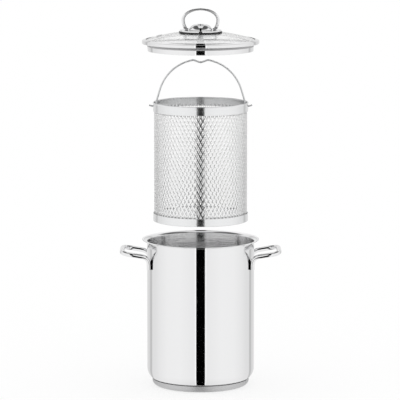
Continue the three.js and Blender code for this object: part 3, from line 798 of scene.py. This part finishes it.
bail = rod("bail_bent_wire", rounded(bail_corners, bail_bends, steps=5), bail_wire)
drawn_wire = metal(
    "drawn_wire",
    (0.66, 0.665, 0.67),
    polishing,
    smoothest=0.06,
    roughest=0.12,
    fineness=500,
    depth=0.000002,
)
fit(bail, "bail", "basket_bail", "wire_steel", drawn_wire)

# Lid's rim: a ring of polished steel sheet pressed round the glass edge. A lip lies over the glass
# and a ledge under it. A curved seat follows the pot's flare, and the skirt goes down inside the
# wall. The seat is painted dark grey as shade.
low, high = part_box("lid_rim")
glass_low, glass_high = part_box("lid_glass")
glass_sheet = 0.004
glass_radius = glass_high.x
glass_rise = glass_high.z - glass_low.z - glass_sheet
dome_radius = (glass_radius**2 + glass_rise**2) / (2 * glass_rise)


def glass_under(radius):
    """Height of the glass underside, part of a sphere."""
    return glass_low.z + glass_rise - dome_radius + math.sqrt(dome_radius**2 - radius**2)


lid_sheet = 0.0008
lid_gap = 0.0004
lid_edge = 0.005
lip = 0.0024
ledge = 0.003
seat_gap = 0.0003
skirt_depth = 0.007
lid_radius = high.x
skirt_top = low.z + skirt_depth
rim_plane = skirt_top + rim_rise
skirt_gap = 0.0008
skirt_outer = pot_outer - pot_wall - skirt_gap
skirt_round = lid_sheet / 2
pocket = glass_radius + seat_gap
edge_top = glass_low.z + glass_sheet + seat_gap
ledge_top = glass_low.z - seat_gap
lip_inner = glass_radius - lip
lip_under = glass_under(lip_inner) + glass_sheet + seat_gap
seat_across = rim_reach + pot_wall + lid_gap
edge_round = 0.0006
edge_fold = 0.0012
edge_crest = rim_plane + lid_gap + lid_edge
crown = 0.001
lip_end = lid_sheet / 2
lid_outline = [
    *bend(skirt_outer - skirt_round, low.z + skirt_round, skirt_round, skirt_round, 180, 360, 6),
    *bend(lid_radius, skirt_top, seat_across, rim_rise + lid_gap, 180, 96, 14),
    *bend(lid_radius - edge_fold, rim_plane + lid_gap + edge_fold, edge_fold, edge_fold, -90, 0, 6),
    *bend(lid_radius - edge_round, edge_crest - edge_round, edge_round, edge_round, 0, 70, 5),
    *bend(pocket + lid_sheet - crown, edge_top + lid_sheet - crown, crown, crown, 70, 98, 4),
    *bend(lip_inner + lip_end, lip_under + lip_end, lip_end, lip_end, 98, 262, 6),
    (pocket, edge_top),
    (pocket, ledge_top),
    (glass_radius - ledge, ledge_top),
    (skirt_outer - lid_sheet, skirt_top),
]
lid_rim = spun("lid_rim_pressed", [*lid_outline, lid_outline[0]], pot_sides)
# Painted shade: a dark grey steel, used on the lid's seat and inside the knob's bow.
dull_steel = metal(
    "dull_steel",
    (0.4, 0.4, 0.405),
    turning,
    smoothest=0.4,
    roughest=0.5,
    fineness=1600,
    depth=0.000003,
)
fit(lid_rim, "lid", "lid_rim", "polished_steel", mirror_steel, dull_steel)
# The seat's faces get the painted shade.
seat_lean = 0.02  # least share of a face's direction that goes down
for face in lid_rim.data.polygons:
    turned_down = face.normal.z < -seat_lean and face.center.z > skirt_top
    face_radius = math.hypot(face.center.x, face.center.y)
    on_seat = turned_down and skirt_outer < face_radius < lid_radius - edge_fold
    face.material_index = 1 if on_seat else 0

# Lid's glass: toughened soda glass sagged into a shallow dome of even thickness, its edge ground
# round. It has one hole for the knob's screw and one for the vent. Where it is seen edge on, its
# colour is painted grey as shade.
screw_radius = 0.0025
glass_hole_gap = 0.002
glass_hole = screw_radius + glass_hole_gap
glass_steps = 40
glass_round = glass_sheet / 2
under = []
for i in range(glass_steps + 1):
    radius = glass_hole + (glass_radius - glass_round - glass_hole) * i / glass_steps
    under.append((radius, glass_under(radius)))
edge_height = under[-1][1] + glass_round
glass_outline = [
    *under,
    *bend(glass_radius - glass_round, edge_height, glass_round, glass_round, -90, 90, 10)[1:-1],
    *[(radius, height + glass_sheet) for radius, height in reversed(under)],
    under[0],
]
glass = spun("lid_glass_dome", glass_outline, pot_sides)
hole_sides = 32
vent_hole = 0.003
vent_inset = 0.0221
vent_bearing = math.radians(172)
vent_from_axis = glass_radius - vent_inset
vent_tilt = math.asin(vent_from_axis / dome_radius)
vent_x = vent_from_axis * math.cos(vent_bearing)
vent_y = vent_from_axis * math.sin(vent_bearing)
vent_place = Vector((vent_x, vent_y, glass_under(vent_from_axis) + glass_sheet / 2))
bpy.ops.object.select_all(action="DESELECT")
bpy.ops.mesh.primitive_cylinder_add(
    vertices=hole_sides,
    radius=vent_hole,
    depth=4 * glass_sheet,
    location=vent_place,
    rotation=(0, vent_tilt, vent_bearing),
)
cut(glass, bpy.context.active_object)
clear_glass = bpy.data.materials.new("clear_glass")
clear_glass.use_nodes = True
tree = clear_glass.node_tree
shader = tree.nodes["Principled BSDF"]
# Painted shade: the glass's colour turns grey where it is seen edge on.
edge_on = add_node(tree, "ShaderNodeLayerWeight", {"Blend": plain_blend}).outputs["Facing"]
glass_edge_shade_stops = [(0.86, 0.98), (0.94, 0.25)]  # 1 is seen edge on, tint
tree.links.new(add_grey_ramp(tree, edge_on, glass_edge_shade_stops), shader.inputs["Base Color"])
shader.inputs["Transmission Weight"].default_value = 1
shader.inputs["IOR"].default_value = 1.5
wiped = add_node(tree, "ShaderNodeGroup", node_tree=polishing)
wiped.inputs["Smoothest"].default_value = 0.0
wiped.inputs["Roughest"].default_value = 0.015
wiped.inputs["Fineness"].default_value = 40
tree.links.new(wiped.outputs["Roughness"], shader.inputs["Roughness"])
fit(glass, "lid", "lid_glass", "glass", clear_glass)

# Steam vent: a polished steel eyelet that lets steam out near the lid's edge. It is riveted through
# the glass, with a flange rolled over on each face.
small_sides = 48
vent_face = glass_sheet / 2 + seat_gap
vent_sheet = 0.0006
vent_bore = 0.0016
flange_reach = 0.0016
vent_flange = vent_hole + flange_reach
vent_roll = vent_sheet / 2
vent_outline = [
    *bend(vent_bore + vent_sheet, -vent_face, vent_sheet, vent_sheet, 180, 270, 5),
    *bend(vent_flange - vent_roll, -vent_face - vent_roll, vent_roll, vent_roll, -90, 90, 5),
    (vent_hole - seat_gap, -vent_face),
    (vent_hole - seat_gap, vent_face),
    *bend(vent_flange - vent_roll, vent_face + vent_roll, vent_roll, vent_roll, -90, 90, 5),
    *bend(vent_bore + vent_sheet, vent_face, vent_sheet, vent_sheet, 90, 180, 5),
]
vent = spun("steam_vent_eyelet", [*vent_outline, vent_outline[0]], small_sides)
vent.location = vent_place
vent.rotation_euler = (0, vent_tilt, vent_bearing)
bpy.ops.object.transform_apply(location=True, rotation=True)
fit(vent, "lid", "steam_vent", "polished_steel", mirror_steel)

# Lower seal: a thick moulded ring of pale silicone rubber, pressed between the glass and the cup
# below it, so that steel doesn't bear on glass.
rubber_smoothest = 0.45
rubber_roughest = 0.65
rubber_grain = 900
rubber_depth = 0.00001


def rubber(name, tint):
    """Moulded silicone, dull and faintly uneven."""
    material = bpy.data.materials.new(name)
    material.use_nodes = True
    tree = material.node_tree
    shader = tree.nodes["Principled BSDF"]
    shader.inputs["Base Color"].default_value = (*tint, 1)
    skin = add_node(tree, "ShaderNodeGroup", node_tree=polishing)
    skin.inputs["Smoothest"].default_value = rubber_smoothest
    skin.inputs["Roughest"].default_value = rubber_roughest
    skin.inputs["Fineness"].default_value = rubber_grain
    tree.links.new(skin.outputs["Roughness"], shader.inputs["Roughness"])
    bump = add_node(
        tree, "ShaderNodeBump", {"Height": skin.outputs["Height"], "Distance": rubber_depth}
    )
    tree.links.new(bump.outputs["Normal"], shader.inputs["Normal"])
    return material


silicone = rubber("silicone_rubber", (0.8, 0.81, 0.81))
knob_sides = 96
screw_hole = screw_radius + seat_gap
low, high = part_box("lower_seal")
seal_round = 0.0004
lower_seal_outline = [
    (screw_hole, low.z),
    *bend(high.x - seal_round, low.z + seal_round, seal_round, seal_round, -90, 0, 4),
    *bend(high.x - seal_round, high.z - seal_round, seal_round, seal_round, 0, 90, 4),
    (screw_hole, high.z),
    (screw_hole, low.z),
]
lower_seal = spun("seal_below_glass", lower_seal_outline, knob_sides)
fit(lower_seal, "lid", "lower_seal", "silicone", silicone)

# Backing cup: a shallow cup pressed from satin steel, which spreads the screw's pull under the
# glass. The nut holds it up against the lower seal.
low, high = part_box("backing_cup")
cup_sheet = 0.0008
cup_bend = 0.0018
cup_round = cup_sheet / 2
cup_middle = high.x - cup_bend
cup_outline = [
    (screw_hole, low.z),
    *bend(cup_middle, low.z + cup_bend, cup_bend, cup_bend, -90, 0, 8),
    *bend(high.x - cup_round, high.z - cup_round, cup_round, cup_round, 0, 180, 6),
    *bend(cup_middle, low.z + cup_bend, cup_bend - cup_sheet, cup_bend - cup_sheet, 0, -90, 6),
    (screw_hole, low.z + cup_sheet),
    (screw_hole, low.z),
]
backing_cup = spun("backing_cup_pressed", cup_outline, knob_sides)
fit(backing_cup, "lid", "backing_cup", "polished_steel", satin_steel)

# Nut: a small hexagon steel nut with bevelled corners, screwed up from below. It holds knob, seals,
# glass and backing cup together.
low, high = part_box("knob_nut")
nut_bevel = 0.0005
nut_corners = 6
nut_height = high.z - low.z
nut_place = (0, 0, (low.z + high.z) / 2)
bpy.ops.object.select_all(action="DESELECT")
bpy.ops.mesh.primitive_cylinder_add(
    vertices=nut_corners, radius=high.x, depth=nut_height, location=nut_place
)
nut = bpy.context.active_object
nut.name = nut.data.name = "knob_nut_hexagon"
bpy.ops.object.transform_apply(location=True)
bpy.ops.object.mode_set(mode="EDIT")
bpy.ops.mesh.bevel(offset=nut_bevel, segments=2, affect="EDGES")
bpy.ops.object.mode_set(mode="OBJECT")
bpy.ops.object.select_all(action="DESELECT")
bpy.ops.mesh.primitive_cylinder_add(
    vertices=hole_sides, radius=screw_hole, depth=4 * nut_height, location=nut_place
)
cut(nut, bpy.context.active_object)
fit(nut, "lid", "knob_nut", "polished_steel", drawn_wire)

# Upper seal: a moulded ring of black silicone rubber between the glass and the knob's plate. It
# slopes below as the glass does, and shows under the plate's hem as a dark line.
low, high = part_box("upper_seal")
plate_low, plate_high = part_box("knob_plate")
seal_radius = high.x
seal_hole = 0.016
seal_top = plate_low.z - seat_gap
seal_foot = glass_under(seal_hole) + glass_sheet + seat_gap
brim_round = 0.0003
hem_depth = 0.001
hem_width = 0.0012
hem_foot = plate_low.z - hem_depth
hem_inner = plate_high.x - hem_width
brim_top = hem_foot - seat_gap
upper_seal_outline = [
    (seal_hole, seal_foot),
    *bend(seal_radius - seal_round, low.z + seal_round, seal_round, seal_round, -90, 0, 5),
    *bend(seal_radius - brim_round, brim_top - brim_round, brim_round, brim_round, 0, 90, 6),
    (hem_inner - seat_gap, brim_top),
    (hem_inner - seat_gap, seal_top),
    (seal_hole, seal_top),
    (seal_hole, seal_foot),
]
black_silicone = rubber("black_silicone_rubber", (0.012, 0.012, 0.013))
upper_seal = spun("seal_above_glass", upper_seal_outline, knob_sides)
fit(upper_seal, "lid", "upper_seal", "black_silicone", black_silicone)

# Knob's plate: a disc of polished steel that carries boss and bow. Its edge is rounded above, and
# below it is turned down in a short hem round the seal.
plate_round = (plate_high.z - plate_low.z) / 2
plate_edge = plate_high.x - plate_round
hem_round = 0.0004
plate_outline = [
    (screw_hole, plate_low.z),
    (hem_inner, plate_low.z),
    (hem_inner, hem_foot),
    *bend(plate_high.x - hem_round, hem_foot + hem_round, hem_round, hem_round, -90, 0, 5),
    *bend(plate_edge, plate_high.z - plate_round, plate_round, plate_round, 0, 90, 8),
    (screw_hole, plate_high.z),
    (screw_hole, plate_low.z),
]
knob_plate = spun("knob_plate_disc", plate_outline, knob_sides)
fit(knob_plate, "lid", "knob_plate", "polished_steel", mirror_steel)

# Knob's boss: a domed turning of polished steel that the screw holds down on the plate, with a
# recess in its top for the screw's head.
low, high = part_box("knob_boss")
boss_top_radius = 0.0078
boss_foot = 0.0006
recess = 0.006
recess_flare = 0.0012
recess_depth = 0.0026
mouth_round = 0.0006
mouth = recess + recess_flare + mouth_round
boss_start = 28  # degrees up the bend, where it meets the plate
boss_across = (high.x - boss_top_radius) / math.cos(math.radians(boss_start))
boss_up = (high.z - low.z - boss_foot) / (1 - math.sin(math.radians(boss_start)))
boss_outline = [
    (screw_hole, low.z),
    (high.x, low.z),
    *bend(boss_top_radius, high.z - boss_up, boss_across, boss_up, boss_start, 90, 24),
    *bend(mouth, high.z - mouth_round, mouth_round, mouth_round, 90, 170, 5),
    (recess, high.z - recess_depth),
    (screw_hole, high.z - recess_depth),
    (screw_hole, low.z),
]
knob_boss = spun("knob_boss_turned", boss_outline, knob_sides)
fit(knob_boss, "lid", "knob_boss", "polished_steel", mirror_steel)

# Knob's bow: the loop that is held, a polished rod that swells outwards and comes back in to two
# collared feet on the plate. It is drawn thinner along the top and has a ring above each neck.
# Inside the loop and at the feet, shade is painted in dark grey.
low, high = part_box("knob_bow")
bow_rod = 0.0048
bow_thin = 0.68  # share of the rod's thickness, along the top
bow_neck = 0.72  # share of the rod's thickness, at a neck
neck_length = 0.045  # share of the bow's length
bow_taper = 4
bow_half = high.x - bow_rod / 2
bow_foot = 0.021
bow_waist = 0.0148
bow_widest = plate_high.z + bow_waist
bow_above = high.z - bow_thin * bow_rod / 2 - bow_widest
foot_turn = math.acos(bow_foot / bow_half)
bow_below = (bow_widest - low.z) / math.sin(foot_turn)
turn = math.degrees(foot_turn)
bow_path = [
    *bend(0, bow_widest, bow_half, bow_below, -turn, 0, 10),
    *bend(0, bow_widest, bow_half, bow_above, 0, 180, 36)[1:-1],
    *bend(0, bow_widest, bow_half, bow_below, 180, 180 + turn, 10),
]


def bow_share(place):
    """Thickness of the bow along it: necks at both ends, thinnest in the middle."""
    if min(place, 1 - place) < neck_length:
        return bow_neck
    return 1 - (1 - bow_thin) * math.sin(math.pi * place) ** bow_taper


bow = rod("knob_bow_loop", [(x, 0, z) for x, z in bow_path], bow_rod, bow_share)
collar = 0.0029
collar_height = 0.0022
collar_round = 0.0004
collar_edge = collar - collar_round
ring_half = 0.0007
collar_outline = [
    (0, 0),
    (collar_edge, 0),
    *bend(collar_edge, collar_height - collar_round, collar_round, collar_round, 0, 90, 4),
    (0, collar_height),
]
ring_outline = [
    (0, -ring_half),
    *bend(collar - ring_half, 0, ring_half, ring_half, -90, 90, 8),
    (0, ring_half),
]
ring_place, ring_next = bow_path[2], bow_path[3]
ring_lean = math.atan2(ring_next[0] - ring_place[0], ring_next[1] - ring_place[1])
for side in (-1, 1):
    foot = spun("collar", collar_outline, small_sides)
    foot.location = (side * bow_foot, 0, low.z)
    bpy.ops.object.transform_apply(location=True)
    ring = spun("ring", ring_outline, small_sides)
    ring.location = (side * ring_place[0], 0, ring_place[1])
    ring.rotation_euler.y = side * ring_lean
    bpy.ops.object.transform_apply(location=True, rotation=True)
    foot.select_set(True)
    bow.select_set(True)
    bpy.context.view_layer.objects.active = bow
    bpy.ops.object.join()
fit(bow, "lid", "knob_bow", "polished_steel", mirror_steel, dull_steel)
# Faces inside the loop and at the collars get the painted shade.
loop_share = 0.25  # least share of a face's direction that goes into the loop
for face in bow.data.polygons:
    inward = Vector((-face.center.x, 0, bow_widest - face.center.z)).normalized()
    in_loop = face.normal.dot(inward) > loop_share
    in_collar = face.center.z < ring_place[1] + 2 * ring_half
    face.material_index = 1 if in_loop or in_collar else 0

# Screw: a polished steel machine screw through boss, plate, seals, glass and cup into the nut.
# Its low bevelled head shows in the boss's recess.
low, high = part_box("knob_screw")
head_radius = high.x
head_height = 0.0018
head_edge = 0.0009
head_bevel = 0.002
screw_outline = [
    (0, low.z),
    (screw_radius, low.z),
    (screw_radius, high.z - head_height),
    (head_radius, high.z - head_height),
    (head_radius, high.z - head_height + head_edge),
    (head_radius - head_bevel, high.z),
    (0, high.z),
]
knob_screw = spun("knob_screw_machined", screw_outline, small_sides)
fit(knob_screw, "lid", "knob_screw", "polished_steel", mirror_steel)
